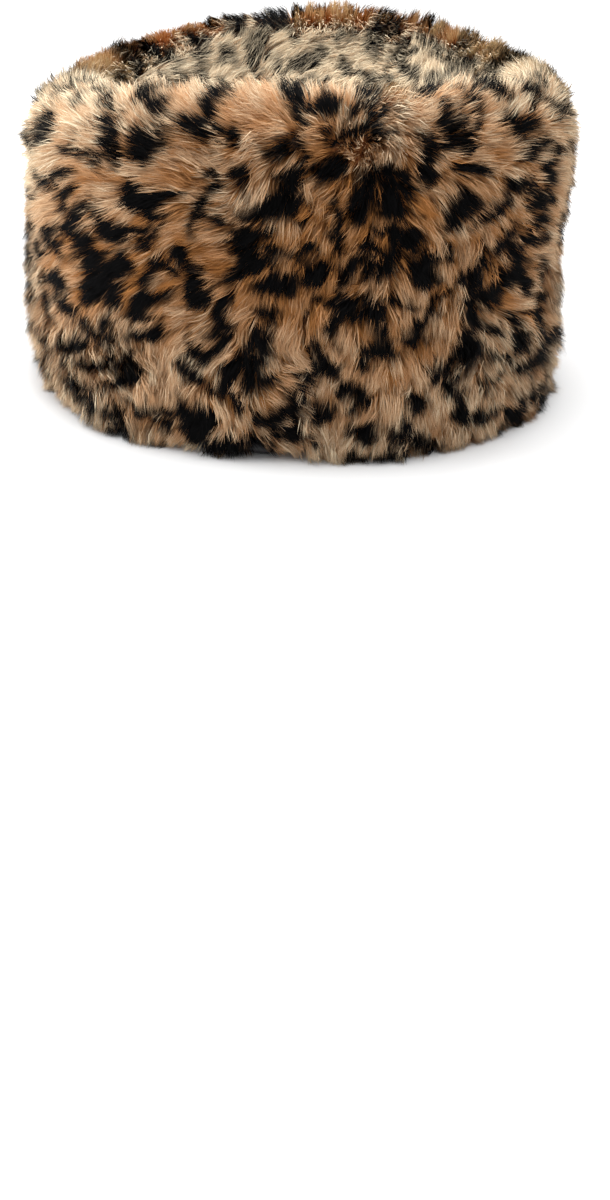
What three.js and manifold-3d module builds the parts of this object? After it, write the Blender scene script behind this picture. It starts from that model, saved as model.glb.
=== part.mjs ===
// A round fur hat with a sunken crown, at rest on its hem.
// Millimetres, +Z up. The wearer's front is at -Y and the side seams are at -X and +X.
import * as THREE from "three";
import { mergeVertices } from "three/addons/utils/BufferGeometryUtils.js";
import Module from "manifold-3d";

const wasm = await Module();
wasm.setup();

// Driving dimensions
const FUR_LONG = 236; // front to back, over the fur
const FUR_WIDE = 204; // side to side, over the fur
const FUR_TALL = 136; // hem to the fur of the rim, halfway between front and back
const PILE = 13; // how far the fur stands off its cloth
const CLOTH = 3.2; // fur cloth: knitted back and the dense underfur
const SATIN = 1; // lining cloth and its turnings
const GAP = 0.35; // clearance between neighbouring pieces

// The oval and the wall
const SKIN_LONG = FUR_LONG / 2 - PILE; // half length of the cloth oval
const SKIN_WIDE = FUR_WIDE / 2 - PILE; // half width of the cloth oval
const CREST = FUR_TALL - PILE + 1; // height of the cloth at the rim; the fur lies over a little there
const SQUARENESS = 2.2; // 2 is a plain ellipse
const TAPER = 0.012; // how much the wall leans in for each unit of height
const RIM_REACH = 20; // from the wall in to the crown seam
const SEAM_DROP = 5; // from the crest down to the crown seam
const SEAM_RADIUS = SKIN_WIDE - RIM_REACH;
const SEAM_HEIGHT = CREST - SEAM_DROP;
const DISH = 15; // from the crown seam down to the middle of the crown
const BACK_SINK = 8; // how much deeper still the crown lies; about twice this at the back, and nothing at the front
const FRONT_RISE = 5; // how much higher the rim stands at the front, and lower at the back
const SIDE_RISE = 13; // how much higher the rim stands over the side seams
const RIM_WAVE = 1.6; // soft rise and fall of the rim
const FRONT_WAIST = 4; // hollow of the front wall at half height, under a fuller rim
const HEM_TURN = 11; // height of the fur turned up inside the hem
const HEM_THICK = 7; // two layers of fur cloth at the hem
const BACK_LIFT = 2.8; // the back hem stands on the gathered band and clears the floor by this
const NAPE_PULL = 3; // how far the elastic draws the back hem in

// The gathered nape band: a satin casing that lines the back hem and turns out under it
const GATHER_TALL = 15;
const GATHER_THICK = 4.2;
const GATHER_FOOT = 1.2; // inset of the turned-out edge from the face of the cloth
const GATHER_FOLDS = 36; // counted round the whole oval
const GATHER_DEPTH = 1.3;
const GATHER_START = 8; // how far behind the side seams it begins
const GATHER_CLEAR = 0.9; // room beside the hem, whose facets are longer
const GATHER_BEVEL = 0.8;

// The locks of the fur
const LOCK_WIDTH = 42;
const LOCK_THICK = 15;
const ROOT_DEPTH = 1.6; // how far a lock's root is sunk in the cloth

const AROUND = 32; // facets round the oval
const WALL_STEPS = 8; // facets up the wall and over the rim
const INSIDE_STEPS = 4;
const DISH_STEPS = 4;
const FACETS_PER_FOLD = 3;

const COLOURS = { fur: 0xa9825a, crownFur: 0xc2a67f, satin: 0x1b1a1d };

// A repeatable number from 0 to 1 for a counted thing.
function chance(index) {
  const wave = Math.sin(index * 12.9898 + 4.1414) * 43758.5453;
  return wave - Math.floor(wave);
}

function signedPower(value, power) {
  return Math.sign(value) * Math.abs(value) ** power;
}

// 1 behind the side seams, 0 at the front, with a soft change just before the seams.
function backness(angle) {
  return THREE.MathUtils.smoothstep(Math.sin(angle), -0.25, 0.06);
}

// Takes a point of a round lathe form to the hat: radius counts along the short half axis.
function place(angle, radius, height) {
  const tall = THREE.MathUtils.clamp(height / CREST, 0, 1.2);
  const front = Math.max(0, -Math.sin(angle)) ** 2;
  const back = Math.max(0, Math.sin(angle)) ** 2;
  const waist = FRONT_WAIST * front * Math.sin(tall * Math.PI * 1.45 - 0.5) * tall;
  const wallShare = THREE.MathUtils.clamp(radius / SEAM_RADIUS, 0, 1);
  const pull = NAPE_PULL * back * (1 - tall) ** 5;
  const lean = (TAPER * height + waist + pull) * wallShare;
  const across = signedPower(Math.cos(angle), 2 / SQUARENESS);
  const along = signedPower(Math.sin(angle), 2 / SQUARENESS);
  const rim = SIDE_RISE * across ** 2 - FRONT_RISE * along;
  const wave = RIM_WAVE * Math.sin(3 * angle + 0.9) * tall;
  const rise = (rim + wave) * tall * wallShare ** 2;
  const sink = BACK_SINK * (1 - wallShare ** 2) * tall * (1 + 0.9 * along);
  const lift = BACK_LIFT * backness(angle) * (1 - tall) ** 6;
  const wide = radius - lean;
  const long =
    radius < SEAM_RADIUS
      ? (radius * (SKIN_LONG - RIM_REACH)) / SEAM_RADIUS - lean
      : radius + SKIN_LONG - SKIN_WIDE - lean;
  return new THREE.Vector3(wide * across, long * along, height + rise + lift - sink);
}

// The outside of the fur cloth from the hem up the wall and over the rim to the crown seam.
const SKIN_STATIONS = [
  { inset: 2.4, height: 0 },
  { inset: 0.4, height: 5 },
  { inset: 0, height: 16 },
  { inset: 0, height: 58 },
  { inset: 0, height: CREST - 18 },
  { inset: 3, height: CREST - 7 },
  { inset: 11, height: CREST },
  { inset: RIM_REACH, height: SEAM_HEIGHT },
];
// The inside of the same cloth, above the turned hem.
const INSIDE_STATIONS = [
  { inset: CLOTH, height: HEM_TURN + 4 },
  { inset: CLOTH, height: CREST - 18 },
  { inset: CLOTH + 2.5, height: CREST - 9 },
  { inset: 11.5, height: CREST - CLOTH },
  { inset: RIM_REACH, height: SEAM_HEIGHT - CLOTH },
];
// The top of the crown cloth, from the seam to the middle, as shares of the seam's radius and of the dish.
const DISH_STATIONS = [
  { share: 1, depth: 0 },
  { share: 0.86, depth: 0.45 },
  { share: 0.66, depth: 0.8 },
  { share: 0.35, depth: 0.96 },
  { share: 0, depth: 1 },
];

function wallCurve(stations) {
  return new THREE.SplineCurve(stations.map((s) => new THREE.Vector2(SKIN_WIDE - s.inset, s.height)));
}

function dishCurve() {
  const points = DISH_STATIONS.map(
    (s) => new THREE.Vector2(SEAM_RADIUS * s.share, SEAM_HEIGHT - DISH * s.depth),
  );
  return new THREE.SplineCurve(points);
}

const skin = wallCurve(SKIN_STATIONS);
const inside = wallCurve(INSIDE_STATIONS);
const dish = dishCurve();

// Points along the inside of the wall, moved into the hollow by a distance.
function insidePoints(distance) {
  return inside.getPoints(INSIDE_STEPS).map((p, i) => {
    const along = inside.getTangent(i / INSIDE_STEPS);
    return new THREE.Vector2(p.x - distance * along.y, p.y + distance * along.x);
  });
}

// Turns a closed lathe profile into a solid on the hat's oval; fold draws each point in first.
function ovalSolid(profile, facets = AROUND, fold = () => 0) {
  const lathe = new THREE.LatheGeometry(profile, facets);
  const at = lathe.getAttribute("position");
  for (let i = 0; i < at.count; i++) {
    const radius = Math.hypot(at.getX(i), at.getZ(i));
    const angle = Math.atan2(-at.getZ(i), at.getX(i));
    const p = place(angle, radius - fold(angle), at.getY(i));
    at.setXYZ(i, p.x, p.y, p.z);
  }
  return solidOf(lathe);
}

// A closed three.js geometry as a solid that can be joined and cut.
function solidOf(geometry) {
  const bare = new THREE.BufferGeometry();
  bare.setAttribute("position", geometry.getAttribute("position"));
  bare.setIndex(geometry.getIndex());
  const merged = mergeVertices(bare, 1e-3);
  const corners = merged.getIndex().array;
  const kept = [];
  for (let i = 0; i < corners.length; i += 3) {
    const [a, b, c] = corners.slice(i, i + 3);
    if (a !== b && b !== c && c !== a) kept.push(a, b, c);
  }
  return new wasm.Manifold(
    new wasm.Mesh({
      numProp: 3,
      vertProperties: merged.getAttribute("position").array,
      triVerts: new Uint32Array(kept),
    }),
  );
}

function meshOf(name, solid, colour, roughness) {
  const { vertProperties, triVerts } = solid.getMesh();
  const geometry = new THREE.BufferGeometry();
  geometry.setAttribute("position", new THREE.BufferAttribute(vertProperties, 3));
  geometry.setIndex(new THREE.BufferAttribute(triVerts, 1));
  geometry.computeVertexNormals();
  const material = new THREE.MeshStandardMaterial({ color: colour, roughness, metalness: 0 });
  const mesh = new THREE.Mesh(geometry, material);
  mesh.name = name;
  return mesh;
}

function blockSolid(width, depth, height, x, y, z) {
  return solidOf(new THREE.BoxGeometry(width, depth, height).translate(x, y, z));
}

// A point of a curve on the hat, with its outward normal and the directions round and up the cloth.
function standOn(curve, angle, share) {
  const spot = (a, s) => {
    const p = curve.getPointAt(THREE.MathUtils.clamp(s, 0, 1));
    return place(a, p.x, p.y);
  };
  const step = 0.01;
  const around = spot(angle + step, share).sub(spot(angle - step, share)).normalize();
  const up = spot(angle, share + step).sub(spot(angle, share - step)).normalize();
  const normal = new THREE.Vector3().crossVectors(around, up).normalize();
  return { root: spot(angle, share), normal, around, up };
}

// One lock: a three-sided cone that leaves the cloth, bends over along the flow and ends in a point.
function lockSolid({ root, normal, flow, length, width, thick, lift }) {
  const side = new THREE.Vector3().crossVectors(flow, normal).normalize();
  const cone = new THREE.ConeGeometry(0.5, 1, 3, 2);
  const at = cone.getAttribute("position");
  for (let i = 0; i < at.count; i++) {
    const share = at.getY(i) + 0.5;
    const fullness = 1 + 1.2 * share;
    const rise = (lift + ROOT_DEPTH) * (1 - (1 - share) ** 2) - ROOT_DEPTH;
    const out = rise + at.getZ(i) * thick * fullness;
    const p = root
      .clone()
      .addScaledVector(normal, out)
      .addScaledVector(flow, length * share)
      .addScaledVector(side, at.getX(i) * width * fullness);
    at.setXYZ(i, p.x, p.y, p.z);
  }
  return solidOf(cone);
}

function joined(solids) {
  return solids.reduce((all, solid) => all.add(solid));
}

// The rows of locks on the wall, by height: how they lean, how long they are and how far they stand off.
// The side column is the flow away from the side seams, and the down column the flow to the floor.
const WALL_ROWS = [
  { share: 0.08, count: 20, side: 0.2, down: 0.95, length: 15, lift: 9 },
  { share: 0.25, count: 18, side: 0.4, down: 0.9, length: 28, lift: 11 },
  { share: 0.42, count: 18, side: 0.6, down: 0.75, length: 30, lift: 11 },
  { share: 0.59, count: 18, side: 0.65, down: 0.65, length: 30, lift: 11 },
  { share: 0.75, count: 18, side: 0.5, down: 0.4, length: 24, lift: 13 },
  { share: 0.87, count: 17, side: 0.3, down: 0.1, length: 14, lift: 12 },
  { share: 0.95, count: 15, side: 0.2, down: -0.3, length: 7, lift: 11 },
];

function wallLocks() {
  const locks = [];
  WALL_ROWS.forEach((row, r) => {
    for (let c = 0; c < row.count; c++) {
      const seed = r * 100 + c;
      const turn = (c + 0.5 * (r % 2) + 0.35 * (chance(seed) - 0.5)) / row.count;
      const angle = turn * 2 * Math.PI;
      const cloth = standOn(skin, angle, row.share + 0.02 * (chance(seed + 31) - 0.5));
      const parting = Math.tanh(3 * Math.sin(2 * angle));
      const flow = cloth.around
        .clone()
        .multiplyScalar(row.side * parting + 0.3 * (chance(seed + 57) - 0.5))
        .addScaledVector(cloth.up, -row.down)
        .normalize();
      locks.push(
        lockSolid({
          ...cloth,
          flow,
          length: row.length * (0.85 + 0.3 * chance(seed + 7)),
          width: LOCK_WIDTH * (0.9 + 0.25 * chance(seed + 19)),
          thick: LOCK_THICK,
          lift: row.lift * (0.88 + 0.16 * chance(seed + 43)),
        }),
      );
    }
  });
  return locks;
}

// The rings of locks on the sunken crown, which lie towards the front.
const CROWN_ROWS = [
  { share: 0.22, count: 10, length: 22, lift: 9 },
  { share: 0.58, count: 6, length: 26, lift: 9 },
  { share: 0.95, count: 1, length: 26, lift: 9 },
];

function crownLocks() {
  const locks = [];
  CROWN_ROWS.forEach((row, r) => {
    for (let c = 0; c < row.count; c++) {
      const seed = 2000 + r * 100 + c;
      const angle = ((c + 0.5 * (r % 2) + 0.3 * (chance(seed) - 0.5)) / row.count) * 2 * Math.PI;
      const cloth = standOn(dish, angle, row.share);
      const forward = new THREE.Vector3(0.5 * (chance(seed + 3) - 0.5), -1, 0);
      const flow = forward.addScaledVector(cloth.normal, -forward.dot(cloth.normal)).normalize();
      locks.push(
        lockSolid({
          ...cloth,
          flow,
          length: row.length,
          width: LOCK_WIDTH,
          thick: LOCK_THICK,
          lift: row.lift * (0.9 + 0.2 * chance(seed + 5)),
        }),
      );
    }
  });
  return locks;
}

const FAR = 400; // a block this large holds the whole hat

// Half of space, to cut a form at a plane: side is -1 or 1 along the axis.
function halfSpace(axis, side, from) {
  const middle = { x: 0, y: 0, z: 0, [axis]: from + (side * FAR) / 2 };
  return blockSolid(FAR, FAR, FAR, middle.x, middle.y, middle.z);
}

function furBand() {
  const core = SEAM_RADIUS - CLOTH;
  const foot = new THREE.Vector2(core, 0);
  const lid = new THREE.Vector2(core, SEAM_HEIGHT);
  const outline = [foot, ...skin.getPoints(WALL_STEPS), lid, foot];
  const hollow = [
    new THREE.Vector2(0, -PILE),
    new THREE.Vector2(SKIN_WIDE - HEM_THICK, -PILE),
    new THREE.Vector2(SKIN_WIDE - HEM_THICK, HEM_TURN),
    ...insidePoints(0),
    new THREE.Vector2(SEAM_RADIUS, FUR_TALL + PILE),
    new THREE.Vector2(0, FUR_TALL + PILE),
  ];
  return joined([ovalSolid(outline), ...wallLocks()])
    .subtract(ovalSolid(hollow))
    .intersect(halfSpace("z", 1, 0));
}

function crownTop() {
  const low = SEAM_HEIGHT - DISH - PILE;
  const edge = SEAM_RADIUS - GAP;
  const top = dish.getPoints(DISH_STEPS);
  const plug = [new THREE.Vector2(0, low), new THREE.Vector2(SEAM_RADIUS, low), ...top];
  const below = [
    new THREE.Vector2(0, low - PILE),
    new THREE.Vector2(SEAM_RADIUS + PILE, low - PILE),
    new THREE.Vector2(SEAM_RADIUS + PILE, SEAM_HEIGHT - CLOTH),
    ...top.map((p) => new THREE.Vector2(p.x, p.y - CLOTH)),
  ];
  const reach = [
    new THREE.Vector2(0, low - 2 * PILE),
    new THREE.Vector2(edge, low - 2 * PILE),
    new THREE.Vector2(edge, FUR_TALL + PILE),
    new THREE.Vector2(0, FUR_TALL + PILE),
  ];
  return joined([ovalSolid(plug), ...crownLocks()])
    .subtract(ovalSolid(below))
    .intersect(ovalSolid(reach));
}

function liningSide() {
  const outer = insidePoints(GAP);
  const inner = insidePoints(GAP + SATIN).reverse();
  const edge = new THREE.Vector2(outer[0].x - SATIN, outer[0].y);
  inner[inner.length - 1].copy(edge);
  return ovalSolid([...outer, ...inner, outer[0]]);
}

function liningTop() {
  const top = dish.getPoints(DISH_STEPS).map((p) => new THREE.Vector2(p.x, p.y - CLOTH - GAP));
  top[0].x = SEAM_RADIUS - GAP;
  const under = top.map((p) => new THREE.Vector2(p.x, p.y - SATIN)).reverse();
  return ovalSolid([...under, ...top]);
}

function napeGather() {
  const outer = SKIN_WIDE - HEM_THICK - GATHER_CLEAR;
  const inner = outer - GATHER_THICK;
  const low = -BACK_LIFT;
  const section = [
    new THREE.Vector2(inner + GATHER_BEVEL, low),
    new THREE.Vector2(SKIN_WIDE - GATHER_FOOT, low),
    new THREE.Vector2(SKIN_WIDE - GATHER_FOOT, -GAP),
    new THREE.Vector2(outer, -GAP),
    new THREE.Vector2(outer, GATHER_TALL - BACK_LIFT - GATHER_BEVEL),
    new THREE.Vector2(inner + GATHER_THICK / 2, GATHER_TALL - BACK_LIFT),
    new THREE.Vector2(inner, GATHER_TALL / 2 - BACK_LIFT),
    new THREE.Vector2(inner + GATHER_BEVEL, low),
  ];
  const fold = (angle) => (GATHER_DEPTH / 2) * (1 + Math.sin(GATHER_FOLDS * angle));
  const ring = ovalSolid(section, GATHER_FOLDS * FACETS_PER_FOLD, fold);
  return ring.intersect(halfSpace("y", 1, GATHER_START));
}

const crown = crownTop();
const band = furBand();

const hat = new THREE.Group();
hat.add(meshOf("band_front", band.intersect(halfSpace("y", -1, -GAP / 2)), COLOURS.fur, 0.85));
hat.add(meshOf("band_back", band.intersect(halfSpace("y", 1, GAP / 2)), COLOURS.fur, 0.85));
hat.add(meshOf("crown_top", crown, COLOURS.crownFur, 0.85));
hat.add(meshOf("lining_side", liningSide(), COLOURS.satin, 0.4));
hat.add(meshOf("lining_top", liningTop(), COLOURS.satin, 0.4));
hat.add(meshOf("nape_gather", napeGather(), COLOURS.satin, 0.4));

// The origin is under the middle of the hat's outer box.
const middle = new THREE.Box3().setFromObject(hat).getCenter(new THREE.Vector3());
hat.position.set(-middle.x, -middle.y, 0);

export default hat;
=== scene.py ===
"""A round fur hat in leopard print: cloth, pile, lining and stage, built round its fixed frame.

Shapes are worked out in millimetres and made in metres. The wearer's front is at -Y, the side
seams are at -X and +X, and the hat stands on z = 0.
"""

import math
from dataclasses import dataclass

import bpy
import numpy as np
from bpy.props import FloatProperty, FloatVectorProperty, IntProperty, PointerProperty
from mathutils import Matrix, Vector


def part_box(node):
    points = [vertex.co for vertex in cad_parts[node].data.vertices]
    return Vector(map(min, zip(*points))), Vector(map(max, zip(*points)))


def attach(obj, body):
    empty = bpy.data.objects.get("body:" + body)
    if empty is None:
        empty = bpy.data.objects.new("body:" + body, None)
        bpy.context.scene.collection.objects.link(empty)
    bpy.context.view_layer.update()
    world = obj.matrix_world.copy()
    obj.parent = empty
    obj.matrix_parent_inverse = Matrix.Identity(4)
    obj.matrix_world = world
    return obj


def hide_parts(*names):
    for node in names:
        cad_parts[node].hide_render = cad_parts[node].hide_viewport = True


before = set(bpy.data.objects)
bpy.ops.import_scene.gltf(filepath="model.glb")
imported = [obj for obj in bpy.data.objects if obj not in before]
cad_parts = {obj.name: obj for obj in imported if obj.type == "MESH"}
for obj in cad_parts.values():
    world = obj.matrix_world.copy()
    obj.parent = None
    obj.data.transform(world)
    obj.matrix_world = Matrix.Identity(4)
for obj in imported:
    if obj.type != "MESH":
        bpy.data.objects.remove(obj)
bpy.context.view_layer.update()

bl_info = {
    "name": "Leopard Fur Hat",
    "version": (1, 0, 0),
    "blender": (4, 5, 0),
    "location": "3D View > Sidebar > Fur Hat",
    "description": "Builds a deep-pile fur hat with its satin lining and a plain studio stage",
    "category": "Add Mesh",
}

MM = 0.001
TINY = 1e-9
BODY = "root"

# Driving dimensions of the hat, as in the frame
FUR_LONG = 236  # front to back, over the fur
FUR_WIDE = 204  # side to side, over the fur
FUR_TALL = 136  # hem to the fur of the rim, halfway between front and back
PILE = 13  # how far the fur stands off its cloth
CLOTH = 3.2  # fur cloth: knitted back and the dense underfur
SATIN = 1  # lining cloth and its turnings
GAP = 0.35  # clearance between neighbouring pieces

# The oval and the wall
SKIN_LONG = FUR_LONG / 2 - PILE
SKIN_WIDE = FUR_WIDE / 2 - PILE
CREST = FUR_TALL - PILE + 1
SQUARENESS = 2.2
TAPER = 0.012
RIM_REACH = 20
SEAM_DROP = 5
SEAM_RADIUS = SKIN_WIDE - RIM_REACH
SEAM_HEIGHT = CREST - SEAM_DROP
DISH = 15
BACK_SINK = 8
SINK_EVEN = 0.35  # within this share of its radius the crown slopes evenly from back to front
FRONT_RISE = 5
SIDE_RISE = 13
RIM_WAVE = 1.6
FRONT_WAIST = 4
HEM_TURN = 11
HEM_THICK = 7
BACK_LIFT = 2.8
NAPE_PULL = 3

# The gathered nape band
GATHER_TALL = 15
GATHER_THICK = 4.2
GATHER_FOOT = 1.2
GATHER_START = 8
GATHER_CLEAR = 0.9
GATHER_BEVEL = 0.8

# Profiles of the cloth: how far each station lies inside the widest oval, and how high
SKIN_STATIONS = [
    (2.4, 0),
    (0.4, 5),
    (0, 16),
    (0, 58),
    (0, CREST - 18),
    (3, CREST - 7),
    (11, CREST),
    (RIM_REACH, SEAM_HEIGHT),
]
INSIDE_STATIONS = [
    (CLOTH, HEM_TURN + 4),
    (CLOTH, CREST - 18),
    (CLOTH + 2.5, CREST - 9),
    (11.5, CREST - CLOTH),
    (RIM_REACH, SEAM_HEIGHT - CLOTH),
]
# The crown's cloth: shares of the seam's radius, and of the dish's depth
DISH_STATIONS = [(1, 0), (0.86, 0.45), (0.66, 0.8), (0.35, 0.96), (0, 1)]


# The form


def smooth(x, low, high):
    """0 below low, 1 above high, with a soft change between."""
    t = np.clip((x - low) / (high - low), 0, 1)
    return t * t * (3 - 2 * t)


def signed_power(x, power):
    return np.sign(x) * np.abs(x) ** power


def place(angle, radius, height):
    """Takes points of a round form to the hat: radius counts along the short half axis."""
    angle, radius, height = np.broadcast_arrays(angle, radius, height)
    sine = np.sin(angle)
    tall = np.clip(height / CREST, 0, 1.2)
    front = np.maximum(0, -sine) ** 2
    back = np.maximum(0, sine) ** 2
    waist = FRONT_WAIST * front * np.sin(tall * math.pi * 1.45 - 0.5) * tall
    wall = np.clip(radius / SEAM_RADIUS, 0, 1)
    pull = NAPE_PULL * back * (1 - tall) ** 5
    lean = (TAPER * height + waist + pull) * wall
    across = signed_power(np.cos(angle), 2 / SQUARENESS)
    along = signed_power(sine, 2 / SQUARENESS)
    rim = SIDE_RISE * across**2 - FRONT_RISE * along + RIM_WAVE * np.sin(3 * angle + 0.9) * tall
    rise = rim * tall * wall**2
    tilt = 0.9 * along * np.minimum(1, wall / SINK_EVEN)
    sink = BACK_SINK * (1 - wall**2) * tall * (1 + tilt)
    lift = BACK_LIFT * smooth(sine, -0.25, 0.06) * (1 - tall) ** 6
    inner = radius * (SKIN_LONG - RIM_REACH) / SEAM_RADIUS
    outer = radius + SKIN_LONG - SKIN_WIDE
    x = (radius - lean) * across
    y = (np.where(radius < SEAM_RADIUS, inner, outer) - lean) * along
    return np.stack([x, y, height + rise + lift - sink], axis=-1)


def spline(points, steps=300):
    """A smooth line through points in the plane of radius and height."""
    points = np.array(points, float)
    t = np.linspace(0, len(points) - 1, steps)
    i = np.minimum(t.astype(int), len(points) - 2)
    w = (t - i)[:, None]
    ends = np.vstack([points[:1], points, points[-1:]])
    p0, p1, p2, p3 = (ends[i + k] for k in range(4))
    v0, v1 = (p2 - p0) / 2, (p3 - p1) / 2
    cubic = 2 * p1 - 2 * p2 + v0 + v1
    square = -3 * p1 + 3 * p2 - 2 * v0 - v1
    return cubic * w**3 + square * w**2 + v0 * w + p1


class Profile:
    """A line of radius and height, read by the length along it in millimetres."""

    def __init__(self, line):
        self.line = line
        step = np.linalg.norm(np.diff(line, axis=0), axis=1)
        self.lengths = np.concatenate([[0], np.cumsum(step)])
        self.length = self.lengths[-1]

    def at(self, length):
        return tuple(np.interp(length, self.lengths, self.line[:, k]) for k in range(2))

    def points(self, count):
        return np.stack(self.at(np.linspace(0, self.length, count)), axis=1)


def wall_profile(stations):
    return Profile(spline([(SKIN_WIDE - inset, height) for inset, height in stations]))


SKIN = wall_profile(SKIN_STATIONS)
INSIDE = wall_profile(INSIDE_STATIONS)
CROWN = Profile(
    spline([(SEAM_RADIUS * share, SEAM_HEIGHT - DISH * depth) for share, depth in DISH_STATIONS])
)

# The way round the oval at half height, so that a panel can be read in millimetres
TURN_STEPS = 1441
TURNS = np.linspace(0, 2 * math.pi, TURN_STEPS)
_ring = place(TURNS, SKIN_WIDE, CREST / 2)
ROUND = np.concatenate([[0], np.cumsum(np.linalg.norm(np.diff(_ring, axis=0), axis=1))])
GIRTH = ROUND[-1]


def frame_shift():
    """How far the frame moved the oval to centre its box: the seams lie at the old middle."""
    front_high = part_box("band_front")[1].y
    back_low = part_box("band_back")[0].y
    low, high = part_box("lining_side")
    return np.array([(low.x + high.x) / 2, (front_high + back_low) / 2, 0]) / MM


SHIFT = frame_shift()


def wall_spot(spot):
    """A point of the fur band's cloth: millimetres round from the +X seam, and up from the hem."""
    angle = np.interp(spot[..., 0], ROUND, TURNS)
    return place(angle, *SKIN.at(spot[..., 1]))


def crown_spot(spot):
    """A point of the crown's cloth over a place in its plan."""
    x = np.abs(spot[..., 0]) / SEAM_RADIUS
    y = np.abs(spot[..., 1]) / (SKIN_LONG - RIM_REACH)
    share = np.maximum((x**SQUARENESS + y**SQUARENESS) ** (1 / SQUARENESS), 1e-6)
    cosine = spot[..., 0] * (x / share) ** (SQUARENESS / 2) / np.maximum(x, TINY)
    sine = spot[..., 1] * (y / share) ** (SQUARENESS / 2) / np.maximum(y, TINY)
    angle = np.arctan2(sine / (SKIN_LONG - RIM_REACH), cosine / SEAM_RADIUS)
    radius = np.minimum(share, 1) * SEAM_RADIUS
    line = CROWN.line[::-1]
    return place(angle, radius, np.interp(radius, line[:, 0], line[:, 1]))


def hem_spot(spot):
    """A point of the inner face of the turned hem: millimetres round, and down from its edge."""
    angle = np.interp(spot[..., 0], ROUND, TURNS)
    height = HEM_TURN - spot[..., 1]
    return place(angle, SKIN_WIDE - HEM_THICK, height)


def runs(surface, spots, step):
    """How far the surface runs along each of the panel's axes, from a step before to a step after."""
    u, v = np.array([step, 0]), np.array([0, step])
    return surface(spots + u) - surface(spots - u), surface(spots + v) - surface(spots - v)


def unit(vectors):
    return vectors / np.maximum(np.linalg.norm(vectors, axis=-1, keepdims=True), TINY)


def stand_on(surface, spots):
    """The point under each spot, its outward normal and the directions along the panel's axes."""
    across, up = runs(surface, spots, 0.4)
    return surface(spots), unit(np.cross(across, up)), unit(across), unit(up)


def turned(across, up, turn):
    """A direction given along two axes, after a turn from the first towards the second."""
    cosine, sine = np.cos(turn), np.sin(turn)
    return across * cosine - up * sine, across * sine + up * cosine


# How the pile lies and grows

# Rows and columns of the random tables, after which they repeat
DRIFT_TABLE = (61, 67)
TUFT_TABLE = (97, 89)


def drift(spots, cell, seed):
    """A smooth number from -1 to 1 that wanders over a panel, with bumps about as large as cell."""
    rows, columns = DRIFT_TABLE
    table = np.random.default_rng(seed).uniform(-1, 1, DRIFT_TABLE)
    grid = spots / cell
    base = np.floor(grid).astype(int)
    fade = grid - base
    fade = fade * fade * (3 - 2 * fade)
    total = 0
    for i in (0, 1):
        for j in (0, 1):
            corner = table[(base[..., 0] + i) % rows, (base[..., 1] + j) % columns]
            share_u = fade[..., 0] if i else 1 - fade[..., 0]
            share_v = fade[..., 1] if j else 1 - fade[..., 1]
            total = total + corner * share_u * share_v
    return total


def tufts(spots, cell, seed):
    """The nearest tuft's root for each spot, with two random numbers that belong to the tuft."""
    rows, columns = TUFT_TABLE
    table = np.random.default_rng(seed).random((*TUFT_TABLE, 4))
    base = np.floor(spots / cell).astype(int)
    nearest = np.full(len(spots), np.inf)
    roots = np.zeros((len(spots), 2))
    chances = np.zeros((len(spots), 2))
    for i in (-1, 0, 1):
        for j in (-1, 0, 1):
            at = base + (i, j)
            row = table[at[:, 0] % rows, at[:, 1] % columns]
            root = (at + row[:, :2]) * cell
            gap = ((root - spots) ** 2).sum(axis=1)
            closer = gap < nearest
            nearest[closer] = gap[closer]
            roots[closer] = root[closer]
            chances[closer] = row[closer, 2:]
    return roots, chances


@dataclass
class Lie:
    """How fur lies at each spot: its way along the panel's axes, reach, lift, paleness and clumps."""

    across: np.ndarray
    up: np.ndarray
    reach: np.ndarray
    lift: np.ndarray
    pale: np.ndarray
    clump: np.ndarray


# How the pile of the band lies, by its share of the way from the hem to the crown seam.
# Side is the flow away from the side seams, or to them if negative, and down the flow to the floor.
# Reach and lift are how far a tip stands along the cloth from its root and over it.
WALL_LIE = {
    "share": (0, 0.08, 0.25, 0.42, 0.59, 0.75, 0.87, 0.95, 1),
    "side": (-0.5, -0.45, -0.15, 0.3, 0.5, 0.55, 0.6, 0.7, 0.8),
    "down": (0.95, 0.95, 0.8, 0.6, 0.5, 0.3, -0.15, -0.55, -0.8),
    "reach": (8, 9.5, 9.5, 9.5, 9.5, 9, 8, 7, 6),
    "lift": (7, 11, 12.5, 11.5, 11.5, 11.5, 10, 9, 8),
    # The pale column paints light and shade: the hem is paler where the floor lights it, the middle of
    # the wall darker where it is in shade, and the rim palest where the overhead lamp lights it
    "pale": (0.48, 0.45, 0.34, 0.13, 0.06, 0.2, 0.46, 0.68, 1),
    "clump": (1, 1, 1, 1, 1, 0.85, 0.5, 0.4, 0.4),
}
# How far the pile on the rim is pressed down or ruffled up round the hat, as a share of its lift
RIM_RUFFLE = {
    "angle": (-1.1, -0.73, -0.3, 0, 0.15, 0.4, 0.75, 1.1, 1.5, 1.9, 2.4),
    "lift": (1, 1.15, 0.95, 0.85, 0.65, 0.4, 0.6, 1.1, 1.35, 1.25, 1),
}


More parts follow.
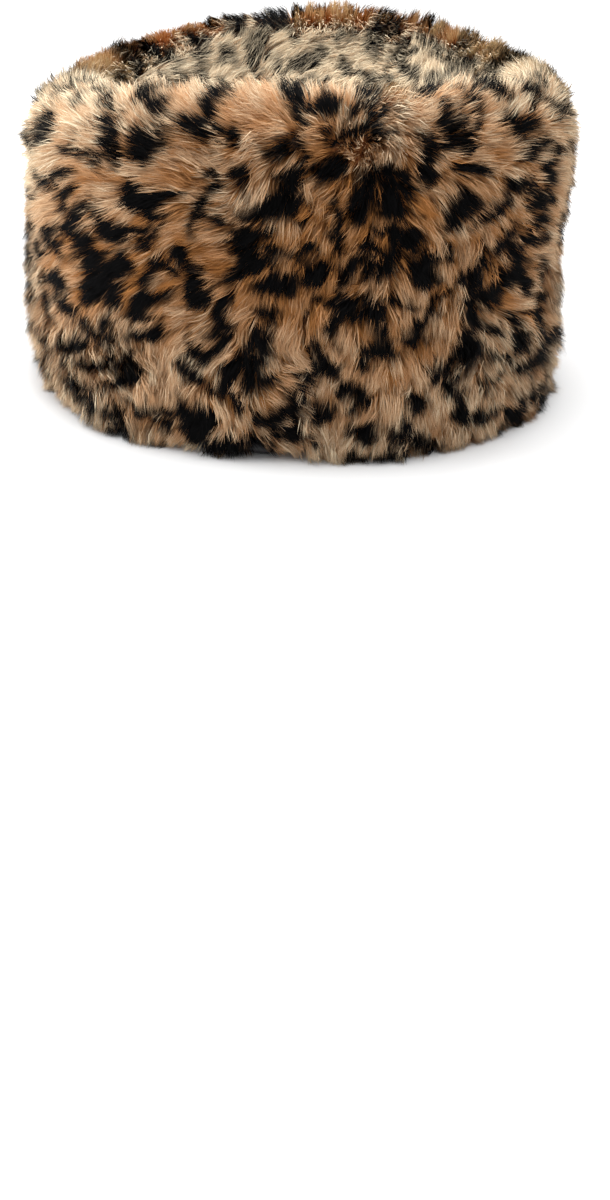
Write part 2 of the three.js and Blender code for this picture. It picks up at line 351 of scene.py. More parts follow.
def wall_lie(spots):
    share = spots[:, 1] / SKIN.length
    side, down, reach, lift, pale, clump = (
        np.interp(share, WALL_LIE["share"], WALL_LIE[column])
        for column in ("side", "down", "reach", "lift", "pale", "clump")
    )
    angle = np.interp(spots[:, 0], ROUND, TURNS)
    parting = np.tanh(2.2 * (np.sin(2 * angle) + 0.5 * drift(spots, 40, 14)))
    turn = 0.9 * drift(spots, 30, 11) + 0.8 * drift(spots, 13, 12)
    across, up = side * parting, -down
    size = np.maximum(np.hypot(across, up), 0.05)
    across, up = across / size, up / size
    upright = 1 - smooth(size, 0.05, 0.4)  # where the flow parts, the pile stands up
    ruffle = np.interp(angle, RIM_RUFFLE["angle"], RIM_RUFFLE["lift"], period=2 * math.pi)
    ruffle = 1 + (ruffle - 1) * smooth(share, 0.7, 0.85)
    # Painted light: the wall is paler in front and behind, the edges that the camera sees lit from the
    # side
    ends = np.sin(angle) ** 6 * (0.15 + 0.43 * smooth(share, 0.1, 0.45))  # paler in front and behind
    return Lie(
        *turned(across, up, turn),
        reach * (1 - 0.6 * upright),
        lift * ruffle * (1 + 0.1 * drift(spots, 26, 13)),
        pale + ends + 0.2 * drift(spots, 24, 15),
        clump,
    )


def crown_lie(spots):
    turn = -math.pi / 2 + 0.9 * drift(spots, 32, 21) + 0.6 * drift(spots, 14, 22)
    flat = np.ones(len(spots))
    # Painted light: the crown's pile is set palest of all, for the light that falls on the top of the
    # hat
    return Lie(np.cos(turn), np.sin(turn), 8 * flat, 8.5 * flat, 1.3 * flat, 0.6 * flat)


def hem_lie(spots):
    flat = np.ones(len(spots))
    return Lie(0.35 * drift(spots, 12, 31), flat, 4.5 * flat, 2.4 * flat, 0.4 * flat, flat)


# Shares of a strand's length at which it bends
BENDS = np.array([0, 0.55, 1])
# Powers of that share by which it rises, runs out and is gripped by its tuft
RISE_CURVE, RUN_CURVE, GRIP_CURVE = 1.9, 1.25, 1.3


def hair_lines(surface, spots, lie, turn, length):
    """The bent line of one hair for each spot, and the cloth's normal and axes under it."""
    root, normal, across, up = stand_on(surface, spots)
    way = lie(spots)
    flow_across, flow_up = turned(way.across, way.up, turn)
    flow = unit(across * flow_across[:, None] + up * flow_up[:, None])
    rise = (way.lift * length)[:, None] * (1 - (1 - BENDS) ** RISE_CURVE)
    run = (way.reach * length)[:, None] * BENDS**RUN_CURVE
    lines = root[:, None] + normal[:, None] * rise[..., None] + flow[:, None] * run[..., None]
    return lines, np.stack([normal, across, up], axis=1)


def scatter(surface, low, high, count, rng):
    """Evenly scattered spots on a panel that lies between two corners."""
    tries = rng.random((3 * count, 2)) * (np.array(high) - low) + low
    area = np.linalg.norm(np.cross(*runs(surface, tries, 0.5)), axis=-1)
    kept = tries[rng.random(len(tries)) * np.percentile(area, 99) < area]
    return kept[:count]


LOCK_CELL = 13  # large locks of the pile, across
TUFT_CELL = 3.6  # small tufts within a lock
LOCK_PULL = 0.28  # how far a strand's tip is drawn to the middle of its lock
HEM_PULL = 0.3  # added to it at the hem of the back, where the locks part over the satin edge
TUFT_PULL = 0.42
# How far locks, tufts within them and hairs within those turn off their way, and the least
# and the spread of their lengths, as shares of the next larger
LOCK_TURN, TUFT_TURN, HAIR_TURN = 0.5, 0.9, 0.5
LOCK_SIZE, TUFT_SIZE, HAIR_SIZE = (0.9, 0.28), (0.82, 0.3), (0.72, 0.36)
STRAY = 0.75  # how far tips stray, in no order
EDGE = 1.0  # roots keep this far inside a panel's edge
FRONT_HEM = 0.6
BACK_HEM = 3.5  # the back's pile starts this far up, over the satin's turned edge
BAND_SPLIT = 0.47  # the band's upper pieces of pile start at this share of the way up
# How far roots keep off the crown's seam, the side seams, the edges of the crown's and the turned
# hem's panels, and the fold at the hem's foot
SEAM_CLEAR, SIDE_CLEAR, EDGE_CLEAR, HEM_CLEAR = 0.6, 0.4, 0.5, 1.5
PRINT_REACH = 0.7  # how far along a strand the print was laid on it
PRINT_SPREAD = 0.45  # 0 gives each strand one place in the print, 1 prints the pile as it lies


@dataclass
class Strands:
    """Strands of a panel: their bent lines with places in the print, outward ways and pale tips."""

    lines: np.ndarray
    inked: np.ndarray
    outward: np.ndarray
    pale: np.ndarray

    def only(self, which):
        return Strands(self.lines[which], self.inked[which], self.outward[which], self.pale[which])


def grow(surface, lie, low, high, count, seed, scale=1.0, parted=0.0):
    """Strands over a panel, drawn together in tufts and locks. Parted locks stand clear at the hem."""
    rng = np.random.default_rng(seed)
    spots = scatter(surface, low, high, count, rng)
    count = len(spots)
    lock_root, lock_chance = tufts(spots, LOCK_CELL * scale, seed + 1)
    tuft_root, tuft_chance = tufts(spots, TUFT_CELL * scale, seed + 2)
    edge_low, edge_high = np.array(low) + EDGE, np.array(high) - EDGE
    lock_root = np.clip(lock_root, edge_low, edge_high)
    tuft_root = np.clip(tuft_root, edge_low, edge_high)
    lock_turn = LOCK_TURN * (lock_chance[:, 0] - 0.5)
    lock_size = LOCK_SIZE[0] + LOCK_SIZE[1] * lock_chance[:, 1]
    tuft_turn = lock_turn + TUFT_TURN * (tuft_chance[:, 0] - 0.5)
    tuft_size = lock_size * (TUFT_SIZE[0] + TUFT_SIZE[1] * tuft_chance[:, 1])
    own_turn = tuft_turn + HAIR_TURN * (rng.random(count) - 0.5)
    own_size = tuft_size * (HAIR_SIZE[0] + HAIR_SIZE[1] * rng.random(count) ** 0.7)
    lines, axes = hair_lines(surface, spots, lie, own_turn, own_size)
    root = lines[:, 0]
    tuft, _ = hair_lines(surface, tuft_root, lie, tuft_turn, tuft_size)
    lock, _ = hair_lines(surface, lock_root, lie, lock_turn, lock_size)
    grip = (BENDS**GRIP_CURVE)[None, :, None]
    way = lie(spots)
    loose = ((0.35 + 0.65 * rng.random(count) ** 0.5) * way.clump)[:, None, None]
    lines = lines + (tuft - lines) * grip * TUFT_PULL * loose
    parting = parted * (0.4 + 0.6 * lock_chance[:, 1]) * (1 - smooth(spots[:, 1], 6, 24))
    pull = LOCK_PULL + parting[:, None, None]
    lines = lines + (lock - lines) * grip * pull * loose
    moved = np.einsum("nsk,nak->nsa", lines - root[:, None], axes[:, 1:])
    printed = moved[:, -1:] * PRINT_REACH
    inked = spots[:, None] + printed + (moved - printed) * PRINT_SPREAD
    stray = rng.normal(0, 1, (count, len(BENDS), 3)) * (STRAY * scale * BENDS)[None, :, None]
    pale = way.pale + 0.5 * (tuft_chance[:, 1] - 0.5)
    return Strands(lines + stray, inked, axes[:, 0], np.clip(pale, 0, 1))


FLOOR_CLEAR = 0.3


def clear_floor(lines):
    """Strands that would pass the floor lie out over it instead."""
    short = np.maximum(0, FLOOR_CLEAR - lines[..., 2])
    away = unit(lines * (1, 1, 0))
    lines = lines + away * (0.7 * short)[..., None]
    lines[..., 2] += short
    return lines


# Strands are narrow ribbons that end in a point: long hair bends once, and down is straight
HAIR_BENDS = (0, 1, 2)
DOWN_BENDS = (0, 2)
ROOT_WIDTH = 0.8  # of a bent strand's width
SOFTNESS = 0.72  # how far a strand is lit as the whole pile is, and not by its own face


def strand_faces(bends):
    """Corner numbers of the faces of one strand, and the start of each face among them."""
    corners, starts = [], []
    for k in range(0, 2 * len(bends) - 4, 2):
        starts.append(len(corners))
        corners += [k, k + 1, k + 3, k + 2]
    tip = 2 * len(bends) - 2
    starts.append(len(corners))
    corners += [tip - 2, tip - 1, tip]
    return np.array(corners), np.array(starts)


def corner_shares(bends):
    """The share of a strand's length at each of its corners."""
    return np.append(np.repeat(BENDS[list(bends[:-1])], 2), 1.0)


def to_corners(values):
    """Values along each strand's line, given to the two corners at each bend and to the tip."""
    return np.concatenate([np.repeat(values[:, :-1], 2, axis=1), values[:, -1:]], axis=1)


def ribbons(lines, outward, widths, twists):
    """Tapered ribbons along the lines: their corner points and the directions that light them."""
    count, steps = lines.shape[:2]
    ahead = unit(np.gradient(lines, axis=1))
    side = unit(np.cross(ahead, outward[:, None]))
    face = np.cross(side, ahead)
    side, face = turned(side, face, -twists[:, None, None])
    shares = np.append(ROOT_WIDTH, np.ones(steps - 2)) if steps > 2 else np.ones(1)
    half = side[:, :-1] * (widths[:, None] * shares / 2)[..., None]
    corners = np.empty((count, 2 * steps - 1, 3))
    corners[:, 0:-1:2] = lines[:, :-1] - half
    corners[:, 1:-1:2] = lines[:, :-1] + half
    corners[:, -1] = lines[:, -1]
    lit = unit(face * (1 - SOFTNESS) + outward[:, None] * SOFTNESS)
    return corners, to_corners(lit)


def mesh_of(name, corners, loops, starts):
    """A mesh from arrays: corner points in millimetres, corner numbers and each face's start."""
    mesh = bpy.data.meshes.new(name)
    mesh.vertices.add(len(corners))
    mesh.vertices.foreach_set("co", ((corners + SHIFT) * MM).astype(np.float32).ravel())
    mesh.loops.add(len(loops))
    mesh.loops.foreach_set("vertex_index", loops.astype(np.int32))
    mesh.polygons.add(len(starts))
    mesh.polygons.foreach_set("loop_start", starts.astype(np.int32))
    mesh.update(calc_edges=True)
    mesh.shade_smooth()
    return mesh


def keep_values(mesh, name, values):
    """Stores a number or a vector for each corner point, for the materials to read."""
    vector = values.ndim == 2
    layer = mesh.attributes.new(name, "FLOAT_VECTOR" if vector else "FLOAT", "POINT")
    layer.data.foreach_set("vector" if vector else "value", values.astype(np.float32).ravel())


def add_piece(mesh, material, slot, *nodes):
    """Shows a mesh as a piece of the hat that stands for those nodes."""
    piece = bpy.data.objects.new(mesh.name, mesh)
    bpy.context.scene.collection.objects.link(piece)
    mesh.materials.append(material)
    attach(piece, BODY)
    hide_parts(*nodes)
    return piece


PRINT_BLUR = 0.4  # how unevenly neighbouring strands took the print
DOWN_SHARE = 0.75  # of all strands
DOWN_WIDTH = 1.2  # of the width of long hair
TWIST = 0.35  # how far ribbons turn about their length


def add_pile(name, node, strands, print_shift, seed):
    """One piece of pile: long hair and down, every strand with its own place in the print."""
    rng = np.random.default_rng(seed + 500)  # clear of the seeds that strands grow from
    width = bpy.context.scene.fur_hat.pile.strand_width / MM
    strands.lines = clear_floor(strands.lines)
    blur = rng.normal(0, PRINT_BLUR, (len(strands.inked), 1, 2))
    strands.inked = np.pad(strands.inked + blur + print_shift, ((0, 0), (0, 0), (0, 1)))
    downs = int(len(strands.lines) * DOWN_SHARE)
    kinds = (
        (DOWN_BENDS, strands.only(slice(0, downs)), width * DOWN_WIDTH),
        (HAIR_BENDS, strands.only(slice(downs, None)), width),
    )
    parts = []
    first_corner = first_loop = 0
    for bends, some, wide in kinds:
        count = len(some.lines)
        number = np.arange(count)[:, None]
        widths = wide * (0.75 + 0.5 * rng.random(count))
        twists = rng.normal(0, TWIST, count)
        corners, lit = ribbons(some.lines[:, list(bends)], some.outward, widths, twists)
        each = corners.shape[1]
        faces, face_starts = strand_faces(bends)
        part = {
            "corners": corners.reshape(-1, 3),
            "loops": (number * each + faces + first_corner).ravel(),
            "starts": (number * len(faces) + face_starts + first_loop).ravel(),
            "custom_normal": lit.reshape(-1, 3),
            "hair_share": np.tile(corner_shares(bends), count),
            "hair_chance": np.repeat(rng.random(count), each),
            "hair_pale": np.repeat(some.pale, each),
            "print_place": to_corners(some.inked[:, list(bends)]).reshape(-1, 3),
        }
        parts.append(part)
        first_corner += count * each
        first_loop += count * len(faces)
    joined = {key: np.concatenate([part[key] for part in parts]) for key in parts[0]}
    mesh = mesh_of(name, joined.pop("corners"), joined.pop("loops"), joined.pop("starts"))
    for key, values in joined.items():
        keep_values(mesh, key, values)
    lay_out_strands(mesh, [(bends, len(some.lines)) for bends, some, _ in kinds])
    add_piece(mesh, shared(bpy.data.materials, "leopard_pile", pile_material), "fur", node)


MAP_NAME = "OFBake"
# Where a strand lies in its cell of the flat map
CELL_LEFT, CELL_RIGHT, CELL_LOW, CELL_HIGH = 0.2, 0.8, 0.1, 0.9


def lay_out_strands(mesh, kinds):
    """Gives each strand a cell of its own in the mesh's flat map."""
    side = math.ceil(math.sqrt(sum(count for _, count in kinds)))
    flats, first = [], 0
    for bends, count in kinds:
        number = first + np.arange(count)
        cell = np.stack([number % side, number // side], axis=1)
        tall = CELL_LOW + (CELL_HIGH - CELL_LOW) * corner_shares(bends)
        wide = np.append(np.tile([CELL_LEFT, CELL_RIGHT], len(bends) - 1), 0.5)
        flat = np.stack([wide, tall], axis=1)[strand_faces(bends)[0]]
        flats.append(((cell[:, None] + flat[None]) / side).ravel())
        first += count
    layer = mesh.uv_layers.new(name=MAP_NAME)
    layer.data.foreach_set("uv", np.concatenate(flats).astype(np.float32))


# Shader nodes


def feed(tree, node, inputs):
    """Gives sockets, by name or number, a value each or the output of another node."""
    for key, value in inputs.items():
        if isinstance(value, bpy.types.NodeSocket):
            tree.links.new(value, node.inputs[key])
        else:
            node.inputs[key].default_value = value


def put(tree, kind, inputs=None, **settings):
    node = tree.nodes.new("ShaderNode" + kind)
    for name, value in settings.items():
        setattr(node, name, value)
    feed(tree, node, inputs or {})
    return node


def calc(tree, operation, first, second=0.0, third=0.0, clamp=False):
    values = {0: first, 1: second, 2: third}
    return put(tree, "Math", values, operation=operation, use_clamp=clamp).outputs[0]


def move(tree, operation, inputs):
    return put(tree, "VectorMath", inputs, operation=operation).outputs


def ramp(tree, value, low, high, start=0.0, end=1.0, change="SMOOTHSTEP"):
    """Goes from start to end as value goes from low to high, with a soft change."""
    limits = {"Value": value, "From Min": low, "From Max": high, "To Min": start, "To Max": end}
    return put(tree, "MapRange", limits, interpolation_type=change).outputs["Result"]


def blend_colour(tree, share, first, second, kind="MIX"):
    inputs = {"Factor": share, 6: first, 7: second}
    return put(tree, "Mix", inputs, data_type="RGBA", blend_type=kind).outputs[2]


def new_group(name, inputs, outputs):
    """A shader node group with those sockets, each given as kind and default or as kind alone."""
    tree = bpy.data.node_groups.new(name, "ShaderNodeTree")
    for label, (kind, default) in inputs.items():
        socket = tree.interface.new_socket(label, in_out="INPUT", socket_type="NodeSocket" + kind)
        if default is not None:
            socket.default_value = default
    for label, kind in outputs.items():
        tree.interface.new_socket(label, in_out="OUTPUT", socket_type="NodeSocket" + kind)
    start = tree.nodes.new("NodeGroupInput")
    end = tree.nodes.new("NodeGroupOutput")
    return tree, start.outputs, end.inputs


def add_group(tree, group, inputs):
    """Places a node group in a material, with its own values, and returns its outputs."""
    node = tree.nodes.new("ShaderNodeGroup")
    node.node_tree = group
    feed(tree, node, inputs)
    return node.outputs


def shared(store, name, build):
    """The named material or node group, built the first time that it is asked for."""
    return store.get(name) or build()


# The print is bent by noise of these scales and strengths, and its cells and blots are longish
PRINT_STRETCH = (0.9, 1.12, 0)
PRINT_BENDS = ((0.05, 14), (0.16, 5))
BLOT_STRETCH = (0.78, 1.22, 0)
BITE_PLACE = (0, 0.3, 0)


def leopard_print_group():
    """Blots of ink over a panel that is read in millimetres, longish and some with a side bitten off."""
    inputs = {
        "Place": ("Vector", None),
        "Spacing": ("Float", 13.2),
        "Blot": ("Float", 0.455),
        "Bite": ("Float", 0.22),
        "Empty": ("Float", 0.05),
        "Edge": ("Float", 0.2),
    }
    tree, given, out = new_group("Leopard print", inputs, {"Ink": "Float"})
    bent = move(tree, "MULTIPLY", {0: given["Place"], 1: PRINT_STRETCH})[0]
    for scale, push in PRINT_BENDS:
        place_at = {"Vector": bent, "Scale": scale, "Detail": 0.0}
        noise = put(tree, "TexNoise", place_at, noise_dimensions="2D").outputs["Color"]
        off = move(tree, "SUBTRACT", {0: noise, 1: (0.5, 0.5, 0.5)})[0]
        bent = move(tree, "MULTIPLY_ADD", {0: off, 1: (push, push, 0), 2: bent})[0]
    scale = calc(tree, "DIVIDE", 1.0, given["Spacing"])
    place_at = {"Vector": bent, "Scale": scale, "Randomness": 0.8}
    cells = put(tree, "TexVoronoi", place_at, voronoi_dimensions="2D")
    chance = put(tree, "SeparateColor", {0: cells.outputs["Color"]}).outputs
    away = move(tree, "SUBTRACT", {0: bent, 1: cells.outputs["Position"]})[0]
    away = move(tree, "SCALE", {0: away, "Scale": scale})[0]
    turn = calc(tree, "MULTIPLY", chance[0], 2 * math.pi)
    away = put(tree, "VectorRotate", {"Vector": away, "Angle": turn}, rotation_type="Z_AXIS").outputs[0]
    long = move(tree, "MULTIPLY", {0: away, 1: BLOT_STRETCH})[0]
    far = move(tree, "LENGTH", {0: long})["Value"]
    size = calc(tree, "MULTIPLY", given["Blot"], calc(tree, "MULTIPLY_ADD", chance[1], 0.6, 0.7))
    blot = calc(tree, "SUBTRACT", size, far)
    side = move(tree, "SUBTRACT", {0: away, 1: BITE_PLACE})[0]
    open_side = move(tree, "LENGTH", {0: side})["Value"]
    bite = calc(tree, "MULTIPLY", given["Bite"], ramp(tree, chance[2], 0.25, 0.75))
    blot = calc(tree, "MINIMUM", blot, calc(tree, "SUBTRACT", open_side, bite))
    full = calc(tree, "GREATER_THAN", chance[2], given["Empty"])
    ink = ramp(tree, calc(tree, "DIVIDE", blot, given["Edge"]), -0.5, 0.5)
    tree.links.new(calc(tree, "MULTIPLY", ink, full), out["Ink"])
    return tree


def fibre_tone_group():
    """The colour of a fibre from root to tip, with the print's ink over its outer part."""
    inputs = {
        "Share": ("Float", 0.5),
        "Chance": ("Float", 0.5),
        "Ink": ("Float", 0.0),
        "Root": ("Color", (0.2, 0.08, 0.03, 1)),
        "Body": ("Color", (0.5, 0.3, 0.15, 1)),
        "Tip": ("Color", (0.8, 0.65, 0.45, 1)),
        "Ink Colour": ("Color", (0.004, 0.003, 0.003, 1)),
        "Ink Depth": ("Float", 0.08),
        "Pale Share": ("Float", 0.6),
        "Frost And Sheen": ("Float", 0.12),
    }
    tree, given, out = new_group("Fibre tone", inputs, {"Colour": "Color"})
    # Pale Share gives more of the fibre the tip's colour: partly the fur's own cream tips, partly
    # painted light on the rim and crown
    along = calc(tree, "MULTIPLY_ADD", given["Pale Share"], 0.3, given["Share"])
    # The dark rust at the root is partly the fur's own colour and partly painted shade deep in the pile
    lower = blend_colour(tree, ramp(tree, along, 0.0, 0.5), given["Root"], given["Body"])
    pale = calc(tree, "MULTIPLY", ramp(tree, along, 0.3, 0.85), given["Pale Share"])
    paler = calc(tree, "MULTIPLY", pale, calc(tree, "ADD", given["Chance"], 0.5), clamp=True)
    plain = blend_colour(tree, paler, lower, given["Tip"])
    # Painted shade: fibres are dimmed where Pale Share is low, halfway up the wall; the chance below
    # adds random tone
    painted_shade = ramp(tree, given["Pale Share"], 0.0, 0.5, 0.69, 0.83)
    shade = calc(tree, "MULTIPLY_ADD", given["Chance"], 0.44, painted_shade)
    grey = put(tree, "CombineColor", {0: shade, 1: shade, 2: shade}).outputs[0]
    varied = blend_colour(tree, 1.0, plain, grey, "MULTIPLY")
    depth = calc(tree, "ADD", given["Ink Depth"], 0.22)
    deep = ramp(tree, given["Share"], given["Ink Depth"], depth, change="LINEAR")
    inked = calc(tree, "MULTIPLY", given["Ink"], deep, clamp=True)
    # Frosted tips on the ink, most where Pale Share is highest: partly the fur's own frosted tips,
    # partly painted sheen on black hair in the light
    more = ramp(tree, given["Pale Share"], 0.75, 1.0, 0.8, 3.0)
    frost_and_sheen_hairs = calc(tree, "LESS_THAN", given["Chance"], calc(tree, "MULTIPLY", given["Frost And Sheen"], more))
    palest = ramp(tree, given["Pale Share"], 0.55, 1.0, 0.0, 0.6)
    frost_and_sheen = calc(tree, "MULTIPLY", calc(tree, "MULTIPLY", pale, palest), frost_and_sheen_hairs)
    black = blend_colour(tree, frost_and_sheen, given["Ink Colour"], given["Tip"])
    tree.links.new(blend_colour(tree, inked, varied, black), out["Colour"])
    return tree


def satin_weave_group():
    """Fine warp threads and soft creases in satin, with painted shade in the creases."""
    inputs = {"Place": ("Vector", None), "Thread": ("Float", 2600.0), "Crease": ("Float", 90.0)}
    outputs = {"Height": "Float", "Crease Shade": "Float"}
    tree, given, out = new_group("Satin weave", inputs, outputs)
    warp = put(tree, "TexWave", {"Vector": given["Place"], "Scale": given["Thread"], "Distortion": 0.6})
    crease = put(tree, "TexNoise", {"Vector": given["Place"], "Scale": given["Crease"], "Detail": 3.0})
    fine = calc(tree, "MULTIPLY", warp.outputs["Fac"], 0.12)
    tree.links.new(calc(tree, "ADD", fine, crease.outputs[0]), out["Height"])
    tree.links.new(ramp(tree, crease.outputs[0], 0.3, 0.7), out["Crease Shade"])
    return tree


def new_material(name, **constants):
    material = bpy.data.materials.new(name)
    material.use_nodes = True
    tree = material.node_tree
    shader = tree.nodes["Principled BSDF"]
    for key, value in constants.items():
        shader.inputs[key.replace("_", " ")].default_value = value
    return material, tree, shader


def value_of(tree, name, output="Fac"):
    return put(tree, "Attribute", attribute_name=name).outputs[output]


def colour(values):
    return (*values, 1)


def printed_fibre(tree, spots, values):
    """Colour of fibres in the hat's own tones, inked where the print has spots."""
    pile = bpy.context.scene.fur_hat.pile
    spots = {"Place": value_of(tree, "print_place", "Vector"), **spots}
    group = shared(bpy.data.node_groups, "Leopard print", leopard_print_group)
    tones = {
        "Ink": add_group(tree, group, spots)["Ink"],
        "Root": colour(pile.root_colour),
        "Body": colour(pile.body_colour),
        "Tip": colour(pile.tip_colour),
        "Ink Colour": colour(pile.ink_colour),
    }
    group = shared(bpy.data.node_groups, "Fibre tone", fibre_tone_group)
    return add_group(tree, group, tones | values)["Colour"]


def pile_material():
    """Printed pile: rusty at the root, caramel, paler at the tip, and black where the ink is."""
    material, tree, shader = new_material("leopard_pile", Specular_IOR_Level=0.06)
    pale, chance = value_of(tree, "hair_pale"), value_of(tree, "hair_chance")
    values = {"Share": value_of(tree, "hair_share"), "Chance": chance, "Pale Share": pale}
    # Painted light: blots are smaller where the pile is paler, so the lit rim and crown carry less black
    spots = {"Blot": ramp(tree, pale, 0.0, 1.0, 0.475, 0.4)}
    tone = printed_fibre(tree, spots, values)
    rough = ramp(tree, chance, 0.0, 1.0, 0.5, 0.75)
    feed(tree, shader, {"Base Color": tone, "Roughness": rough})
    return material


def underfur_material():
    """Dense short fur at the cloth: rusty and dark, partly its own colour and partly painted shade deep
    in the pile, with the print showing through.
    """
    material, tree, shader = new_material("underfur", Specular_IOR_Level=0.2)
    at = put(tree, "TexCoord").outputs["Object"]
    fluff = put(tree, "TexNoise", {"Vector": at, "Scale": 700.0, "Detail": 4.0}).outputs[0]
    share = ramp(tree, fluff, 0.3, 0.8, 0.0, 0.32)
    values = {"Share": share, "Chance": fluff, "Ink Depth": -0.1, "Pale Share": 0.0}
    tone = printed_fibre(tree, {}, values)
    rough = ramp(tree, fluff, 0.0, 1.0, 0.75, 0.95)
    bump = put(tree, "Bump", {"Height": fluff, "Strength": 0.8, "Distance": 0.0008}).outputs[0]
    feed(tree, shader, {"Base Color": tone, "Roughness": rough, "Normal": bump})
    return material


def satin_material(name, crease, bump_distance):
    satin = bpy.context.scene.fur_hat.satin
    material, tree, shader = new_material(name, Specular_IOR_Level=0.5, Sheen_Weight=0.1)
    at = put(tree, "TexCoord").outputs["Object"]
    group = shared(bpy.data.node_groups, "Satin weave", satin_weave_group)
    weave = add_group(tree, group, {"Place": at, "Crease": crease})
    # Painted shade: the satin is darker in its creases
    crease_shade_colour = tuple(0.6 * c for c in satin.colour)
    shade = blend_colour(tree, weave["Crease Shade"], colour(crease_shade_colour), colour(satin.colour))
    rough = ramp(tree, weave["Crease Shade"], 0.0, 1.0, 0.3, 0.45)
    height = {"Height": weave["Height"], "Strength": 0.5, "Distance": bump_distance}
    bump = put(tree, "Bump", height).outputs[0]
    feed(tree, shader, {"Base Color": shade, "Roughness": rough, "Normal": bump})
    return material


def floor_material():
    stage = bpy.context.scene.fur_hat.stage
    material, tree, shader = new_material("pale_floor", Specular_IOR_Level=0.2)
    at = put(tree, "TexCoord").outputs["Object"]
    grain = put(tree, "TexNoise", {"Vector": at, "Scale": 3.0, "Detail": 2.0}).outputs[0]
    low = colour([0.985 * c for c in stage.floor_colour])
    tone = blend_colour(tree, grain, low, colour(stage.floor_colour))
    feed(tree, shader, {"Base Color": tone, "Roughness": ramp(tree, grain, 0.0, 1.0, 0.75, 0.85)})
    return material


# Cloth


def section_normals(section):
    """Outward directions in the plane of a closed section of radius and height."""
    ahead = np.roll(section, -1, axis=0) - np.roll(section, 1, axis=0)
    normal = np.stack([ahead[:, 1], -ahead[:, 0]], axis=1)
    return unit(normal)


def eased(lengths, whole, first, last):
    """0 at both ends of the whole length and 1 between, softened over a first and a last stretch."""
    return smooth(lengths, 0, first) * smooth(whole - lengths, 0, last)


def oval_shell(name, section, angles, swell, whole=False):
    """Turns a closed section round the oval. Swell gives how far each point stands proud of it."""
    rows, columns = len(angles), len(section)
    proud = swell(angles[:, None])[..., None] * section_normals(section)
    radius, height = np.moveaxis(section + proud, -1, 0)
    corners = place(angles[:, None], radius, height).reshape(-1, 3)
    number = np.arange(rows * columns).reshape(rows, columns)
    here = number if whole else number[:-1]
    after = np.roll(number, -1, axis=0) if whole else number[1:]
    quads = np.stack([here, np.roll(here, -1, 1), np.roll(after, -1, 1), after], axis=-1)
    loops = quads.reshape(-1)
    starts = np.arange(len(loops) // 4) * 4
    if not whole:
        caps = np.concatenate([number[0][::-1], number[-1]])
        starts = np.concatenate([starts, len(loops) + np.array([0, columns])])
        loops = np.concatenate([loops, caps])
    return mesh_of(name, corners, loops, starts)


def half_turns(front, count):
    """Angles over the front or the back half, clear of the side seams."""
    clear = GAP / 2 / SKIN_LONG
    start = -math.pi if front else 0
    return np.linspace(start + clear, start + math.pi - clear, count)


def round_of(angles):
    return np.interp(np.mod(angles, 2 * math.pi), TURNS, ROUND)


def panel_spots(angles, lengths):
    """Spots of a panel: millimetres round for each row of angles, and up for each length."""
    return np.stack(np.broadcast_arrays(round_of(angles), lengths), axis=-1)


def keep_print(mesh, spots):
    keep_values(mesh, "print_place", np.pad(spots, ((0, 0), (0, 1))))


# Where each panel was cut from the printed cloth
FRONT_PRINT = (900, 40)
BACK_PRINT = (150, 420)
CROWN_PRINT = (1500, 900)

UNDERFUR = 2.6  # how far the dense underfur swells out over the cloth
UNDERFUR_EASE = 8  # over this length from the panel's edges
CROWN_UNDERFUR = 1.6
SKIN_POINTS = 58
INNER_POINTS = 26
HEM_POINTS = 8
BAND_TURNS = 130


def band_section():
    """The fur cloth's section: out and up the wall, in over the rim, down inside and round the hem."""
    outer = SKIN.points(SKIN_POINTS)
    inner = INSIDE.points(INNER_POINTS)[::-1]
    turned = SKIN_WIDE - HEM_THICK
    hem = [(turned + 1.2, HEM_TURN + 1.4), (turned + 0.2, HEM_TURN)]
    hem += [(turned, HEM_TURN - k * (HEM_TURN - 1.2) / HEM_POINTS) for k in range(1, HEM_POINTS + 1)]
    hem.append((turned + 1.1, 0.15))
    return np.vstack([outer, inner, np.array(hem)])


def band_cloth(front, material, print_shift):
    """Half of the fur band without its long hair."""
    section = band_section()
    side = "front" if front else "back"
    angles = half_turns(front, BAND_TURNS)
    lengths = np.linspace(0, SKIN.length, SKIN_POINTS)
    ease = eased(lengths, SKIN.length, UNDERFUR_EASE, UNDERFUR_EASE)

    def swell(angle):
        spots = panel_spots(angle, lengths)
        fluff = 0.6 + 0.25 * drift(spots, 7, 41) + 0.15 * drift(spots, 2.9, 42)
        proud = np.zeros((len(angle), len(section)))
        proud[:, :SKIN_POINTS] = UNDERFUR * ease * fluff
        return proud

    mesh = oval_shell(f"band_{side}_cloth", section, angles, swell)
    back = np.linalg.norm(np.diff(section[SKIN_POINTS - 1 :], axis=0), axis=1)[::-1]
    up = np.concatenate([lengths, -np.cumsum(back)[::-1]])
    keep_print(mesh, panel_spots(angles[:, None], up).reshape(-1, 2) + print_shift)
    add_piece(mesh, material, "fur", f"band_{side}")


CROWN_TURNS = 120
CROWN_RINGS = 26


def dish_section(rings, drop, inset, thick):
    """Section of a thin dish, a drop below the crown's outer face: in along its top, out under it."""
    top = CROWN.points(rings) - (0, drop)
    top[0, 0] -= inset
    under = top[::-1] - (0, thick)
    return np.vstack([top[:-1], under[1:]])


